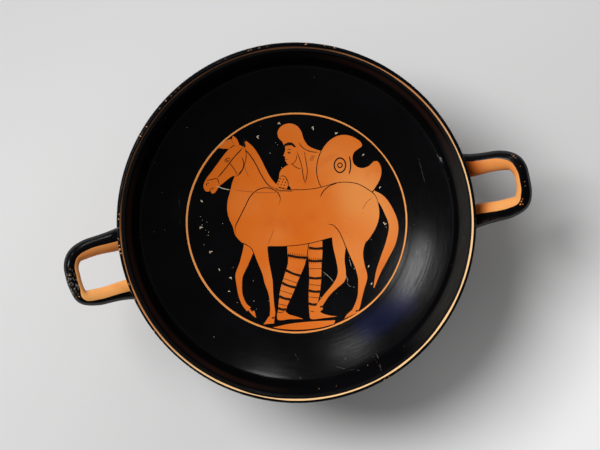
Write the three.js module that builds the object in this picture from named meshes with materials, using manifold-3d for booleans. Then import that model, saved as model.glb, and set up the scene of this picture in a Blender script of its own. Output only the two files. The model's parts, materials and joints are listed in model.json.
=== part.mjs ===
// A wheel-thrown drinking cup (kylix): a wide shallow bowl with a set-off lip, a stem on a disc foot,
// and two loop handles luted to the wall. It is fired as one body, so it is one solid.
// Millimetres, +Z up. The origin is the centre of the underside, and the handles lie along X.
import * as THREE from "three";
import { mergeVertices } from "three/addons/utils/BufferGeometryUtils.js";
import Module from "manifold-3d";

// Driving dimensions
const rimRadius = 140;
const height = 110;
const turns = 64; // facets round the axis

// Bowl: inside, its height over the floor grows with a power of the radius
const floorHeight = 54; // inside, at the middle
const creaseRadius = 125; // where the lip starts
const creaseHeight = 89.3;
const bowlPower = 2.5;
const wallAtLip = 4.6;
const wallAtStem = 7.5;
const rimRound = 1.6; // radius of the rim's rounded edge
const lipInside = [[127.6, 95.8], [129.6, 100.4], [132.4, 104.3]]; // steep at first, then it flares

// Stem and foot
const collarRadius = 17.5; // the thin ring under the bowl
const collarHeight = 45;
const stemRadius = 13; // at its waist
const stemWaist = 32;
const footRadius = 54;
const footEdge = 8.5; // height of the disc's edge
const ledgeRadius = 45; // a low step on top of the disc
const restingWidth = 8; // the flat ring that the cup stands on
const hollowHeight = 25; // the hollow under the foot

// Handles
const handleLean = THREE.MathUtils.degToRad(1.3); // both bend a little towards -Y
const handleStart = 98; // runs level into the wall, and stops inside it
const handleEndDepth = 2; // how far below the bowl's inside it stops
const handleLevel = 118; // where it starts to climb
const handleReach = 178.9; // the end bar's centre line
const handleLow = 83;
const handleHigh = 111;
const handleClimb = 1.35; // above 1, the loop climbs more steeply as it goes out
const rootSpread = 22.6; // half the distance between the two arms at the wall
const armSpread = 18.6; // the same just before the corners
const cornerFull = 0.5; // added to the half width at the corners
const rootWidth = 10.8; // half widths of the section, in the loop's plane
const armWidth = 7.2;
const barWidth = 5.7;
const rootDepth = 7.4; // half depths of the section, across the loop's plane
const barDepth = 6;
const sectionSides = 12;
const ringsPerHandle = 34;

// How each arm strays from the plain loop: outwards at the wall, half way, before the corner and in the
// corner, and in half width. The first arm is on the left of the loop as it is seen from the axis.
const rightArms = [
  { root: 0.2, middle: -1.5, end: 0.2, corner: 0.2, thick: 0.6 },
  { root: 2, middle: 0.6, end: 0.6, corner: 0.6, thick: 0.5 },
];
const leftArms = [
  { root: 0, middle: -0.4, end: 2.2, corner: 0.5, thick: 0.5 },
  { root: 0, middle: -0.4, end: -1.1, corner: 0, thick: 0.1 },
];

const wasm = await Module();
wasm.setup();

// A closed geometry as a solid that can be joined and cut.
function solidFrom(geometry) {
  geometry.deleteAttribute("normal");
  geometry.deleteAttribute("uv");
  const merged = mergeVertices(geometry, 1e-4);
  return new wasm.Manifold(
    new wasm.Mesh({
      numProp: 3,
      vertProperties: merged.attributes.position.array,
      triVerts: new Uint32Array(merged.index.array),
    }),
  );
}

// The same solid as a geometry with flat faces.
function geometryFrom(solid) {
  const mesh = solid.getMesh();
  const geometry = new THREE.BufferGeometry();
  geometry.setAttribute("position", new THREE.BufferAttribute(mesh.vertProperties, 3));
  geometry.setIndex(new THREE.BufferAttribute(mesh.triVerts, 1));
  const faceted = geometry.toNonIndexed();
  faceted.computeVertexNormals();
  return faceted;
}

function turned(profile) {
  return solidFrom(new THREE.LatheGeometry(profile, turns).rotateX(Math.PI / 2));
}

// A curve through a few points, without its first point, which ends the stretch before it.
function through(points, steps) {
  return new THREE.SplineCurve(points.map(([r, z]) => new THREE.Vector2(r, z)))
    .getPoints(steps)
    .slice(1);
}

function bent(start, control, end, steps) {
  const [a, b, c] = [start, control, end].map(([r, z]) => new THREE.Vector2(r, z));
  return new THREE.QuadraticBezierCurve(a, b, c).getPoints(steps).slice(1);
}

function bowlInside(r) {
  const rise = creaseHeight - floorHeight;
  return floorHeight + rise * (r / creaseRadius) ** bowlPower;
}

// A point of the outer wall, one wall's thickness out from the inside at radius r.
function bowlOutside(r) {
  const rise = creaseHeight - floorHeight;
  const slope = (rise * bowlPower / creaseRadius) * (r / creaseRadius) ** (bowlPower - 1);
  const lean = Math.atan(slope);
  const wall = wallAtLip + (wallAtStem - wallAtLip) * (1 - r / creaseRadius) ** 1.5;
  return new THREE.Vector2(r + wall * Math.sin(lean), bowlInside(r) - wall * Math.cos(lean));
}

// Radii from one to the other, in equal steps, with both ends.
function radii(from, to, steps) {
  return Array.from({ length: steps + 1 }, (_, i) => from + ((to - from) * i) / steps);
}

function footProfile() {
  const hollowEdge = footRadius - 1 - restingWidth;
  return [
    new THREE.Vector2(0, hollowHeight),
    ...through([[0, hollowHeight], [4.5, hollowHeight - 1.5], [9.5, 18.5], [19, 9], [34, 4.6], [hollowEdge, 2.6]], 9),
    new THREE.Vector2(hollowEdge + 0.8, 0),
    new THREE.Vector2(footRadius - 1, 0),
    ...through([[footRadius - 1, 0], [footRadius, footEdge * 0.55], [footRadius - 1.6, footEdge]], 4),
    new THREE.Vector2(ledgeRadius, footEdge + 0.9),
    new THREE.Vector2(ledgeRadius - 0.8, footEdge + 2.2),
    ...through(
      [[ledgeRadius - 0.8, footEdge + 2.2], [30, 14.2], [19, 20.5], [stemRadius, stemWaist], [14.6, collarHeight - 2]],
      9,
    ),
    ...through([[14.6, collarHeight - 2], [collarRadius, collarHeight - 0.8], [collarRadius, collarHeight + 0.8]], 3),
  ];
}

function lipOutside() {
  return bent([130.4, 88.4], [131.9, 99], [rimRadius - 0.5, height - 2.7], 4);
}

function rimEdge() {
  const middle = [rimRadius - rimRound, height - rimRound];
  return [-10, 35, 80, 125].map((degrees) => {
    const angle = THREE.MathUtils.degToRad(degrees);
    return new THREE.Vector2(middle[0] + rimRound * Math.cos(angle), middle[1] + rimRound * Math.sin(angle));
  });
}

// The inside from the rim down to the axis.
function insideProfile() {
  const top = [rimRadius - 3, height - 1.1];
  const lip = through([top, ...[...lipInside].reverse(), [creaseRadius, creaseHeight]], 5);
  const bowl = radii(creaseRadius, 0, 11)
    .slice(1)
    .map((r) => new THREE.Vector2(r, r ? bowlInside(r) : floorHeight));
  return [...lip, ...bowl];
}

function cupProfile() {
  const wall = radii(22, creaseRadius, 10).map(bowlOutside);
  return [
    ...footProfile(),
    ...wall,
    new THREE.Vector2(130.4, 88.4),
    ...lipOutside(),
    ...rimEdge(),
    new THREE.Vector2(rimRadius - 3, height - 1.1),
    ...insideProfile(),
  ];
}

// The space above the bowl's inside, lowered into its wall: the handles stop short of it.
function spaceOverWall() {
  const above = height + 30;
  return turned([
    ...insideProfile().reverse(),
    new THREE.Vector2(rimRadius - 3, height - 1.1),
    new THREE.Vector2(rimRadius - 3, above),
    new THREE.Vector2(0, above),
  ]).translate([0, 0, -handleEndDepth]);
}

// The centre line of a handle that points along +X: out along one arm, round the end bar and back.
function handleLine(arms) {
  const [first, second] = arms.map(({ root, middle, end, corner }) => [
    [handleStart, rootSpread + 0.6 + root],
    [handleLevel, rootSpread + root],
    [handleLevel + 22, armSpread + 1.4 + middle],
    [handleReach - 13, armSpread + end],
    [handleReach - 4.4 + 0.7 * corner, armSpread - 3.4 + end + 0.7 * corner],
    [handleReach - 0.6, armSpread - 10.4 + 0.6 * end],
  ]);
  const back = second.map(([x, y]) => [x, -y]).reverse();
  const loop = [...first, [handleReach, 0], ...back];
  const climb = (x) => (Math.max(0, x - handleLevel) / (handleReach - handleLevel)) ** handleClimb;
  return new THREE.CatmullRomCurve3(
    loop.map(([x, y]) => new THREE.Vector3(x, y, handleLow + (handleHigh - handleLow) * climb(x))),
    false,
    "centripetal",
  );
}

// A smooth step from 0 to 1 as x goes from low to high.
function ease(x, low, high) {
  return THREE.MathUtils.smoothstep(x, low, high);
}

// An oval section swept along the centre line, thicker towards the roots, with flat ends.
function handleSolid(turn, arms) {
  const line = handleLine(arms);
  const up = new THREE.Vector3(handleLow - handleHigh, 0, handleReach - handleLevel).normalize();
  const positions = [];
  const faces = [];
  for (let i = 0; i <= ringsPerHandle; i++) {
    const place = line.getPointAt(i / ringsPerHandle);
    const along = line.getTangentAt(i / ringsPerHandle);
    const side = new THREE.Vector3().crossVectors(up, along).normalize();
    const over = new THREE.Vector3().crossVectors(along, side);
    const outward = ease(place.x, handleLevel - 6, handleReach - 14);
    const corner = ease(place.x, handleReach - 18, handleReach - 2);
    const atCorner = Math.exp(-(((place.x - handleReach + 9) / 8) ** 2));
    const thick = arms[place.y > 0 ? 0 : 1].thick * ease(place.x, handleLevel - 6, handleLevel + 14);
    const extra = (thick + cornerFull * atCorner) * ease(Math.abs(place.y), 3, 13);
    const wide = THREE.MathUtils.lerp(rootWidth, armWidth, outward) - (armWidth - barWidth) * corner + extra;
    const deep = THREE.MathUtils.lerp(rootDepth, barDepth, outward);
    for (let k = 0; k < sectionSides; k++) {
      const angle = (2 * Math.PI * k) / sectionSides;
      const point = place
        .clone()
        .addScaledVector(side, wide * Math.cos(angle))
        .addScaledVector(over, deep * Math.sin(angle));
      positions.push(point.x, point.y, point.z);
    }
  }
  for (let i = 0; i < ringsPerHandle; i++) {
    for (let k = 0; k < sectionSides; k++) {
      const next = (k + 1) % sectionSides;
      const [a, b] = [i * sectionSides + k, i * sectionSides + next];
      faces.push(a, b, b + sectionSides, a, b + sectionSides, a + sectionSides);
    }
  }
  const last = ringsPerHandle * sectionSides;
  for (let k = 1; k < sectionSides - 1; k++) {
    faces.push(0, k + 1, k, last, last + k, last + k + 1);
  }
  const geometry = new THREE.BufferGeometry();
  geometry.setAttribute("position", new THREE.Float32BufferAttribute(positions, 3));
  geometry.setIndex(faces);
  geometry.rotateZ(turn);
  return solidFrom(geometry);
}

function cupSolid() {
  const body = turned(cupProfile());
  const space = spaceOverWall();
  const right = handleSolid(-handleLean, rightArms).subtract(space);
  const left = handleSolid(Math.PI + handleLean, leftArms).subtract(space);
  return body.add(right).add(left);
}

const blackGloss = new THREE.MeshStandardMaterial({ color: 0x16161a, roughness: 0.28, metalness: 0 });

const cup = new THREE.Mesh(geometryFrom(cupSolid()), blackGloss);
cup.name = "kylix";

const group = new THREE.Group();
group.add(cup);

export default group;
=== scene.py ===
import json
import math
import random

import bmesh
import bpy
import numpy as np
from mathutils import Matrix, Vector, geometry
from mathutils.kdtree import KDTree

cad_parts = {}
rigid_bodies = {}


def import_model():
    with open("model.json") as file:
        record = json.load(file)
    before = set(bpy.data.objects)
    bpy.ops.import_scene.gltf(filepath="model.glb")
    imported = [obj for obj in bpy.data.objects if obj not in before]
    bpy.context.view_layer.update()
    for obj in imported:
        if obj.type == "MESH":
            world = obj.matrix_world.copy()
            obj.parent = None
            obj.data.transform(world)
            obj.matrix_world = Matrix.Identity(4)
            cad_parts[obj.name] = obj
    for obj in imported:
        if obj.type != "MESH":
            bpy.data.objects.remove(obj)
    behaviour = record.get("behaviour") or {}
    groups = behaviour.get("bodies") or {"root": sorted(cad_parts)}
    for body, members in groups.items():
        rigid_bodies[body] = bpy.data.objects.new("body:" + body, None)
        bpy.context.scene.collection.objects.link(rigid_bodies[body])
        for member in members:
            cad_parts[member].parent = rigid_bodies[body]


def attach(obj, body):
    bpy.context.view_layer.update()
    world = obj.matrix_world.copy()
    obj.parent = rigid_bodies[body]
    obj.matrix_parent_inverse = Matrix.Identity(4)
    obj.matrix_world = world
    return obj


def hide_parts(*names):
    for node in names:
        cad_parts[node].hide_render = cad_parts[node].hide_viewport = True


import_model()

# A red-figure kylix. Sizes are in millimetres here and become metres as the meshes are made.
# +Z is up the cup's axis, +X runs along the handles, and the picture's horse walks towards -X.

mm = 0.001
turn = math.radians(11.9)  # how far the handles' line is turned from level in the main view
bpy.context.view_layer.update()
finishes = (
    "blackGloss", "reservedClay", "reliefLine", "thinWash", "paleColour",  # on the cup
    "handleGloss", "handleClay",
)

cup = {
    "rim": 140,  # radius
    "height": 110,
    "floor": 54,  # inside, at the middle
    "crease": (125, 89.3),  # where the lip turns up
    "easedFrom": 1.6,  # how far before the crease the turn begins
    "bowlPower": 2.5,
    "wallAtLip": 4.6,
    "wallAtStem": 7.5,
    "rimRound": 1.6,
    "lipInside": ((127.6, 95.8), (129.6, 100.4), (132.4, 104.3)),  # steep at first, then it flares
    "collar": (17.5, 45),
    "waist": (13, 32),
    "foot": 54,
    "footEdge": 8.5,
    "ledge": 45,
    "restingRing": 8,
    "hollow": 25,
    "softness": 0.55,  # how far every corner is worn round
    # the rim's edge is out of true: further out all round, on one side, and on two opposite sides
    "rimSwell": (0.42, 0.30, math.radians(148), 0.45, math.radians(106)),
    "around": 192,  # steps of the turning
    "pictureEdge": 94,  # the painted disc is made apart, out to here
}

handle = {
    "lean": math.radians(1.3),  # both bend a little towards -Y
    "level": 118,  # starts to climb here
    "reach": 178.9,
    "low": 83,
    "high": 111,
    "climb": 1.35,
    "rootSpread": 22.6,
    "armSpread": 18.6,
    "rootWidth": 10.8,
    "armWidth": 7.2,
    "barWidth": 5.7,
    "cornerFull": 0.5,  # added to the half width at the corners
    "rootDepth": 7.4,
    "barDepth": 6,
    "sides": 28,
    "rings": 120,
    "flareBelow": 0.9,  # how far the clay is smoothed out where it meets the wall
    "flareBeside": 2.3,
    "flareAbove": 1.5,
    "flareReach": 8.5,
    "inWall": 2.2,  # how deep the ends go into the wall
    # how each arm strays: outwards at the wall, half way, before the corner and in it, and in half width
    "rightArms": ((1.8, -0.4, 0.0, 0.2, 0.6), (2.0, 0.6, 0.6, 0.6, 0.5)),
    "leftArms": ((2.3, 0.8, 2.1, 1.2, -0.6), (0.0, -0.4, -1.1, 0.0, 0.1)),
    # where the black stops, in degrees round the section, at places along the loop
    "rightBorder": (
        (0, 60), (0.22, 70), (0.36, 76), (0.44, 92), (0.50, 97), (0.56, 97), (0.60, 90), (0.80, 94), (1, 108),
    ),
    "leftBorder": (
        (0, 76), (0.22, 82), (0.36, 70), (0.40, 60), (0.42, 68), (0.445, 91), (0.47, 98), (0.50, 102),
        (0.57, 102), (0.66, 96), (0.80, 95), (1, 111),
    ),
}


def inView(x, y):
    # From the main view's own right and up to the cup's X and Y.
    c, s = math.cos(turn), math.sin(turn)
    return x * c + y * s, -x * s + y * c


def ease(x, low, high):
    t = np.clip((np.asarray(x, float) - low) / (high - low), 0, 1)
    return t * t * (3 - 2 * t)


def running(points):
    # The length of a line up to each of its points.
    return np.concatenate([[0], np.cumsum(np.linalg.norm(np.diff(points, axis=0), axis=1))])


def treeOf(points):
    # Finds the nearest of many points.
    tree = KDTree(len(points))
    for i, p in enumerate(points):
        tree.insert((*p, 0)[:3], i)
    tree.balance()
    return tree


def newPiece(name, points, faces, paint):
    mesh = bpy.data.meshes.new(name)
    mesh.from_pydata(points * mm, [], faces)
    for finish in finishes:
        mesh.materials.append(bpy.data.materials[finish])
    mesh.polygons.foreach_set("material_index", paint)
    piece = bpy.data.objects.new(name, mesh)
    bpy.context.collection.objects.link(piece)
    return piece


def span(points, spacing):
    # A smooth line through a few points, with its own first and last point.
    p = np.array(points, float)
    if len(p) < 3:
        count = max(1, math.ceil(np.linalg.norm(p[-1] - p[0]) / spacing))
        return p[0] + (p[-1] - p[0]) * np.linspace(0, 1, count + 1)[:, None]
    p = np.vstack([2 * p[0] - p[1], p, 2 * p[-1] - p[-2]])
    knots = np.concatenate([[0], np.cumsum(np.linalg.norm(np.diff(p, axis=0), axis=1) ** 0.5)])
    line = []
    for i in range(1, len(p) - 2):
        t0, t1, t2, t3 = knots[i - 1 : i + 3]
        count = max(1, math.ceil(np.linalg.norm(p[i + 1] - p[i]) / spacing))
        t = np.linspace(t1, t2, count, endpoint=False)[:, None]
        a = p[i - 1] + (p[i] - p[i - 1]) * (t - t0) / (t1 - t0)
        b = p[i] + (p[i + 1] - p[i]) * (t - t1) / (t2 - t1)
        c = p[i + 1] + (p[i + 2] - p[i + 1]) * (t - t2) / (t3 - t2)
        ab = a + (b - a) * (t - t0) / (t2 - t0)
        bc = b + (c - b) * (t - t1) / (t3 - t1)
        line.append(ab + (bc - ab) * (t - t1) / (t2 - t1))
    line.append(p[-2][None])
    return np.vstack(line)


# Finishes. Patterns read the piece's own coordinates, in metres

gloss = {
    "colour": (0.0019, 0.0019, 0.0023),
    "brown": (0.0150, 0.0064, 0.0048),  # where the slip lies thin, in the crease of the lip
    # the colour of a painted violet sheen in the bowl
    "violet": (0.0028, 0.0040, 0.0235),
    "red": (0.050, 0.013, 0.011),
    "scratched": (0.30, 0.26, 0.21),
    "crease": (131.3, 2.4),  # radius and half width
    "brownTowards": 18,  # degrees round from +X: brown there and on the far side, not in between
    "violetAt": ((70, -79, 77), (38, -94, 75), 13.5),  # a painted violet sheen: from, to, and half width
    "dull": (129.3, 5.7),  # radius and half width of a ring that does not shine
    "paintedSheen": (0.020, 0.0197, 0.018),  # a painted grey highlight on the lip
    "paintedSheenTowards": 340,
    "roughness": 0.22,
    "rimLine": (137.2, 0.45),  # radius and half width of the reserved line inside the lip
    "rimLineCentre": (-0.24, -0.49),
    "redStreak": ((141.5, -29.0, 96), (159.5, -28.4, 103), 1.7),  # on a handle: from, to, and half width
    "scuffed": (-181, -11, 14),  # on a handle: x, y and radius
    "rimLineFaintest": 116,  # degrees round from +X, where the line is faintest and the rim most rubbed
    "rimLinePale": (0.88, 0.55, 0.26),
    "rimLineRed": (0.80, 0.34, 0.125),
    "specular": 0.42,
    "specularOnHandles": 0.3,
    # small losses, by the lowest height they are found at: x, y and radius
    "chips": {
        50: ((-60.5, -53.0, 0.4),),
        60: (
            (16.0, -113.6, 0.3), (31.5, -121.6, 0.35), (-22.5, -121.0, 0.3), (-9.5, -130.5, 0.35),
            (4.0, -131.5, 0.3), (-83.0, -75.0, 0.3), (96.0, -42.0, 0.25), (-70.0, 92.0, 0.25),
        ),
        107: (
            (-126.4, -59.6, 0.8), (-121.2, -69.4, 0.5), (41.8, -133.6, 0.7), (45.5, -132.2, 0.45),
            (104.0, -93.3, 0.5), (57.0, 127.6, 0.6), (49.5, 130.4, 0.45), (-139.2, 8.2, 0.9),
            (-138.8, 5.0, 0.7), (-139.0, 11.2, 0.6), (-134.9, 31.5, 0.7), (-133.9, 35.2, 0.5),
            (-136.4, 25.0, 0.4), (-105.0, 91.2, 0.6), (-99.0, 97.6, 0.4),
        ),
    },
    "handleChips": {
        90: (
            (-182.6, 13.6, 1.0), (-181.6, 11.9, 0.7), (-176.5, -21.0, 0.5), (-180.6, -3.5, 0.5),
            (-151.5, 24.6, 0.3), (-158.0, -26.2, 0.4), (174.6, 17.4, 0.35), (175.2, 16.2, 0.4),
            (176.4, 14.6, 0.3), (178.6, 7.3, 0.35), (179.2, -5.6, 0.3), (179.0, -8.8, 0.35),
            (172.4, -15.4, 0.45), (172.9, -17.4, 0.7), (171.8, -19.0, 0.4), (173.9, -19.6, 0.6),
            (172.6, -21.6, 0.7), (174.5, -22.2, 0.45), (175.0, -18.0, 0.3), (150.0, 24.2, 0.3),
        ),
    },
    # scratches inside: x and y of both ends, and half width
    "scratches": (
        (40.1, -114.3, 41.3, -119.0, 0.16), (41.0, -121.5, 40.7, -126.6, 0.12),
        (38.5, -118.5, 40.3, -124.0, 0.10), (7.0, -117.9, 13.5, -120.9, 0.10),
        (16.5, -122.1, 24.5, -124.0, 0.10), (-24.0, -98.5, -21.0, -108.0, 0.08),
        (105.5, 30.0, 106.6, 8.0, 0.07), (-88.0, 40.0, -92.0, 18.0, 0.07),
    ),
}

clay = {
    "colour": (0.625, 0.130, 0.0085),
    "pale": (0.80, 0.365, 0.110),  # outside the picture, with less red ochre rubbed on
    "paleLeft": (0.92, 0.420, 0.125),
    "stain": (0.52, 0.085, 0.008),
    "wallShadow": (0.30, 0.060, 0.008),  # painted shadow by the wall on one side
    "pit": (0.06, 0.022, 0.010),
    "chip": (0.60, 0.20, 0.055),
    "rubbed": (0.46, 0.235, 0.115),
    # paler and redder places in the picture: x, y, radius and strength. The paler ones on the picture's right
    # are partly a painted sheen.
    "paler": (
        (58, 10, 36, 0.46), (48, 41, 32, 0.16), (34, -38, 38, 0.26), (-22, -44, 30, 0.14),
        (74, -18, 26, 0.20), (-40, 26, 20, 0.10), (-14, -6, 16, 0.08),
    ),
    "redder": ((-4, 1, 15, 0.6), (-20, 8, 12, 0.3), (14, 4, 9, 0.3)),
    "roughness": 0.38,
    "specular": 0.22,
}


def feed(tree, socket, value):
    # A socket takes another one's output or a value of its own, and a colour as three numbers.
    if isinstance(value, bpy.types.NodeSocket):
        tree.links.new(value, socket)
    else:
        socket.default_value = (*value, 1) if socket.type == "RGBA" else value


def addNode(tree, kind, inputs=None, **settings):
    node = tree.nodes.new("ShaderNode" + kind)
    for name, value in settings.items():
        setattr(node, name, value)
    for name, value in (inputs or {}).items():
        feed(tree, node.inputs[name], value)
    return node.outputs


def sums(tree, operation, a, b=0.0, clamp=False):
    return addNode(tree, "Math", {0: a, 1: b}, operation=operation, use_clamp=clamp)[0]


def times(tree, product, *others):
    for value in others:
        product = sums(tree, "MULTIPLY", product, value)
    return product


def vectors(tree, operation, a, b=None):
    given = {0: a}
    if b is not None:
        given["Scale" if operation == "SCALE" else 1] = b
    outputs = addNode(tree, "VectorMath", given, operation=operation)
    return outputs["Value" if operation in ("LENGTH", "DISTANCE", "DOT_PRODUCT") else "Vector"]


def ramped(tree, value, low, high, first=0.0, last=1.0):
    given = {"Value": value, "From Min": low, "From Max": high, "To Min": first, "To Max": last}
    return addNode(tree, "MapRange", given, interpolation_type="SMOOTHSTEP")[0]


def blended(tree, share, a, b):
    node = tree.nodes.new("ShaderNodeMix")
    node.data_type = "RGBA"
    for name, value in (("Factor_Float", share), ("A_Color", a), ("B_Color", b)):
        feed(tree, next(s for s in node.inputs if s.identifier == name), value)
    return next(s for s in node.outputs if s.identifier == "Result_Color")


def noise(tree, place, scale, detail=2.0, distortion=0.0):
    given = {"Vector": place, "Scale": scale, "Detail": detail, "Distortion": distortion}
    return addNode(tree, "TexNoise", given)["Fac"]


def patchy(tree, place, scale, detail, *steps):
    return ramped(tree, noise(tree, place, scale, detail), *steps)


def cupPlace(tree):
    # The place on the piece, the same with no height, the distance from the axis, and the height.
    place = addNode(tree, "TexCoord")["Object"]
    x, y, z = addNode(tree, "SeparateXYZ", {0: place})
    flat = addNode(tree, "CombineXYZ", {0: x, 1: y})[0]
    return place, flat, vectors(tree, "LENGTH", flat), z


def towards(tree, flat, degrees):
    # 1 on the side of the cup that lies this way from its middle, -1 on the far side.
    a = math.radians(degrees)
    return vectors(tree, "DOT_PRODUCT", vectors(tree, "NORMALIZE", flat), (math.cos(a), math.sin(a), 0))


def nearValue(tree, value, middle, half, core):
    # 1 by a value, fading to nothing at the half width.
    away = sums(tree, "ABSOLUTE", sums(tree, "SUBTRACT", value, middle * mm))
    return ramped(tree, away, half * mm, half * core * mm)


def nearLine(tree, place, line, soft=1.3, core=0.2):
    # 1 along a straight line between two places, fading to nothing at its half width.
    first, last, half = line
    start, run = Vector(first) * mm, (Vector(last) - Vector(first)) * mm
    offset = vectors(tree, "SUBTRACT", place, start)
    share = vectors(tree, "DOT_PRODUCT", offset, run / run.length_squared)
    share = sums(tree, "ADD", share, 0.0, clamp=True)
    away = vectors(tree, "DISTANCE", offset, vectors(tree, "SCALE", run, share))
    return ramped(tree, away, half * soft * mm, half * core * mm)


def nearSpot(tree, flat, x, y, radius):
    # 1 at the place, fading to nothing at the radius.
    away = vectors(tree, "DISTANCE", flat, (x * mm, y * mm, 0))
    return ramped(tree, away, radius * mm, radius * 0.15 * mm)


def facingMask(tree, low, high):
    # 1 where the surface faces the eye, nothing where it turns away.
    facing = addNode(tree, "LayerWeight", {"Blend": 0.5})["Facing"]
    return ramped(tree, facing, low, high, 1.0, 0.0)


def speckled(tree, place, scale, channel, rare, size):
    # Scattered dots, in a few of the pattern's cells.
    cells = addNode(tree, "TexVoronoi", {"Vector": place, "Scale": scale})
    chosen = addNode(tree, "SeparateColor", {0: cells["Color"]})[channel]
    return times(tree, ramped(tree, cells["Distance"], *size), ramped(tree, chosen, *rare))


def chipMask(tree, place, flat, height, chips):
    # Ragged little losses, each at its own place and above its own height.
    offset = addNode(tree, "TexNoise", {"Vector": place, "Scale": 900.0, "Detail": 3.0})["Color"]
    offset = vectors(tree, "SUBTRACT", offset, (0.5, 0.5, 0.5))
    ragged = vectors(tree, "ADD", flat, vectors(tree, "MULTIPLY", offset, (0.0026, 0.0026, 0)))
    total = 0.0
    for lowest, group in chips.items():
        mask = 0.0
        for x, y, radius in group:
            away = vectors(tree, "DISTANCE", ragged, (x * mm, y * mm, 0))
            mask = sums(tree, "MAXIMUM", mask, ramped(tree, away, radius * mm, radius * mm * 0.8))
        mask = times(tree, mask, ramped(tree, height, (lowest - 0.5) * mm, lowest * mm))
        total = sums(tree, "MAXIMUM", total, mask)
    return total


def scratchMask(tree, place, flat, height):
    # Thin straight scratches in the bowl, each between two places, and broken along their length.
    total = 0.0
    for x0, y0, x1, y1, half in gloss["scratches"]:
        one = nearLine(tree, flat, ((x0, y0, 0), (x1, y1, 0), half), 1.3, 0.7)
        total = sums(tree, "MAXIMUM", total, one)
    broken = patchy(tree, place, 300.0, 2.0, 0.42, 0.60, 0.03, 0.38)
    return times(tree, total, ramped(tree, height, 70 * mm, 74 * mm), broken)


def turningMarks(tree, radius, height, place):
    # Fine rings left by the wheel and the brush, broken up along their length.
    rings = addNode(tree, "CombineXYZ", {0: radius, 1: height})[0]
    patches = patchy(tree, place, 34.0, 3.0, 0.3, 0.7, 0.25, 1.0)
    fine = times(tree, noise(tree, rings, 620.0, 3.0), patches, 0.6)
    return sums(tree, "ADD", fine, times(tree, noise(tree, rings, 150.0, 2.0), 0.7))


def brushStreaks(tree, flat, radius):
    # Short streaks along the rings: the noise is drawn out round the axis.
    turned = vectors(tree, "SCALE", vectors(tree, "NORMALIZE", flat), 0.014)
    outwards = addNode(tree, "CombineXYZ", {2: radius})[0]
    return noise(tree, vectors(tree, "ADD", turned, outwards), 850.0, 2.0)


def newFinish(name):
    material = bpy.data.materials.new(name)
    material.use_nodes = True
    tree = material.node_tree
    return tree, tree.nodes["Principled BSDF"]


def finished(tree, shader, colour, rough, shine, marks, strength, depth):
    bump = addNode(tree, "Bump", {"Height": marks, "Strength": strength, "Distance": depth})[0]
    given = {"Base Color": colour, "Roughness": rough, "Specular IOR Level": shine, "Normal": bump}
    for name, value in given.items():
        feed(tree, shader.inputs[name], value)


def insideLip(tree, radius, height):
    # 1 on the lip's inside, nothing on its outside.
    return ramped(tree, sums(tree, "SUBTRACT", radius, times(tree, height, 0.45)), 87.0 * mm, 86.3 * mm)


def lipColours(tree, at, colour, cloud, streaks):
    # Brown slip in the crease, a painted grey highlight above it on one side, and a painted violet sheen
    # lower down.
    place, flat, radius, height = at
    inner = insideLip(tree, radius, height)
    side = towards(tree, flat, gloss["brownTowards"])
    brown = times(
        tree,
        nearValue(tree, radius, *gloss["crease"], 0.3),
        ramped(tree, height, 91 * mm, 95 * mm),
        inner,
        ramped(tree, times(tree, side, side), 0.15, 0.75),
        ramped(tree, cloud, 0.2, 0.6, 0.5, 1.0),
    )
    colour = blended(tree, brown, colour, gloss["brown"])
    # painted highlight: a grey sheen on the lip's inside, on one side only
    paintedSheen = times(
        tree,
        ramped(tree, radius, 126.5 * mm, 129 * mm),
        ramped(tree, height, 93 * mm, 97 * mm),
        inner,
        ramped(tree, towards(tree, flat, gloss["paintedSheenTowards"]), 0.72, 0.97),
        ramped(tree, streaks, 0.3, 0.7, 0.75, 1.0),
    )
    colour = blended(tree, paintedSheen, colour, gloss["paintedSheen"])
    # painted sheen: a violet patch lower in the bowl
    return blended(tree, nearLine(tree, place, gloss["violetAt"]), colour, gloss["violet"])


def rimLine(tree, at, fadeSide):
    # The line left bare inside the rim, unevenly drawn, and its colour: paler on one side of the cup,
    # thinner, redder and fading to nearly nothing on the other.
    place, flat, _, height = at
    middle, half = gloss["rimLine"]
    centre = (*[c * mm for c in gloss["rimLineCentre"]], 0)
    away = sums(tree, "SUBTRACT", vectors(tree, "DISTANCE", flat, centre), middle * mm)
    drawn = patchy(tree, place, 22.0, 3.0, 0.3, 0.7, -0.20 * mm, 0.20 * mm)
    away = sums(tree, "ADD", sums(tree, "ABSOLUTE", away), drawn)
    away = sums(tree, "SUBTRACT", away, ramped(tree, fadeSide, -0.5, -0.95, 0.0, 0.13 * mm))
    # towards one side of the cup the line thins, dims and turns redder
    line = times(
        tree,
        ramped(tree, away, (half + 0.12) * mm, (half - 0.12) * mm),
        ramped(tree, height, 105.0 * mm, 105.5 * mm),
        ramped(tree, fadeSide, 0.36, 0.76, 1.0, 0.2),
        ramped(tree, fadeSide, -0.35, 0.05, 1.0, 0.76),
    )
    return line, blended(tree, ramped(tree, fadeSide, -0.45, 0.2), gloss["rimLinePale"], gloss["rimLineRed"])


def rubbedRim(tree, at, fadeSide):
    # The rim's edge has lost its slip in places, most of all on the left.
    place, _, radius, height = at
    return times(
        tree,
        patchy(tree, place, 330.0, 5.0, 0.60, 0.65, 0.0, 0.7),
        patchy(tree, place, 30.0, 2.0, 0.44, 0.58),
        ramped(tree, radius, 138.5 * mm, 138.9 * mm),
        ramped(tree, height, 106.5 * mm, 107.5 * mm),
        ramped(tree, fadeSide, -0.35, 0.25, 0.15, 1.0),
    )


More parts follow.
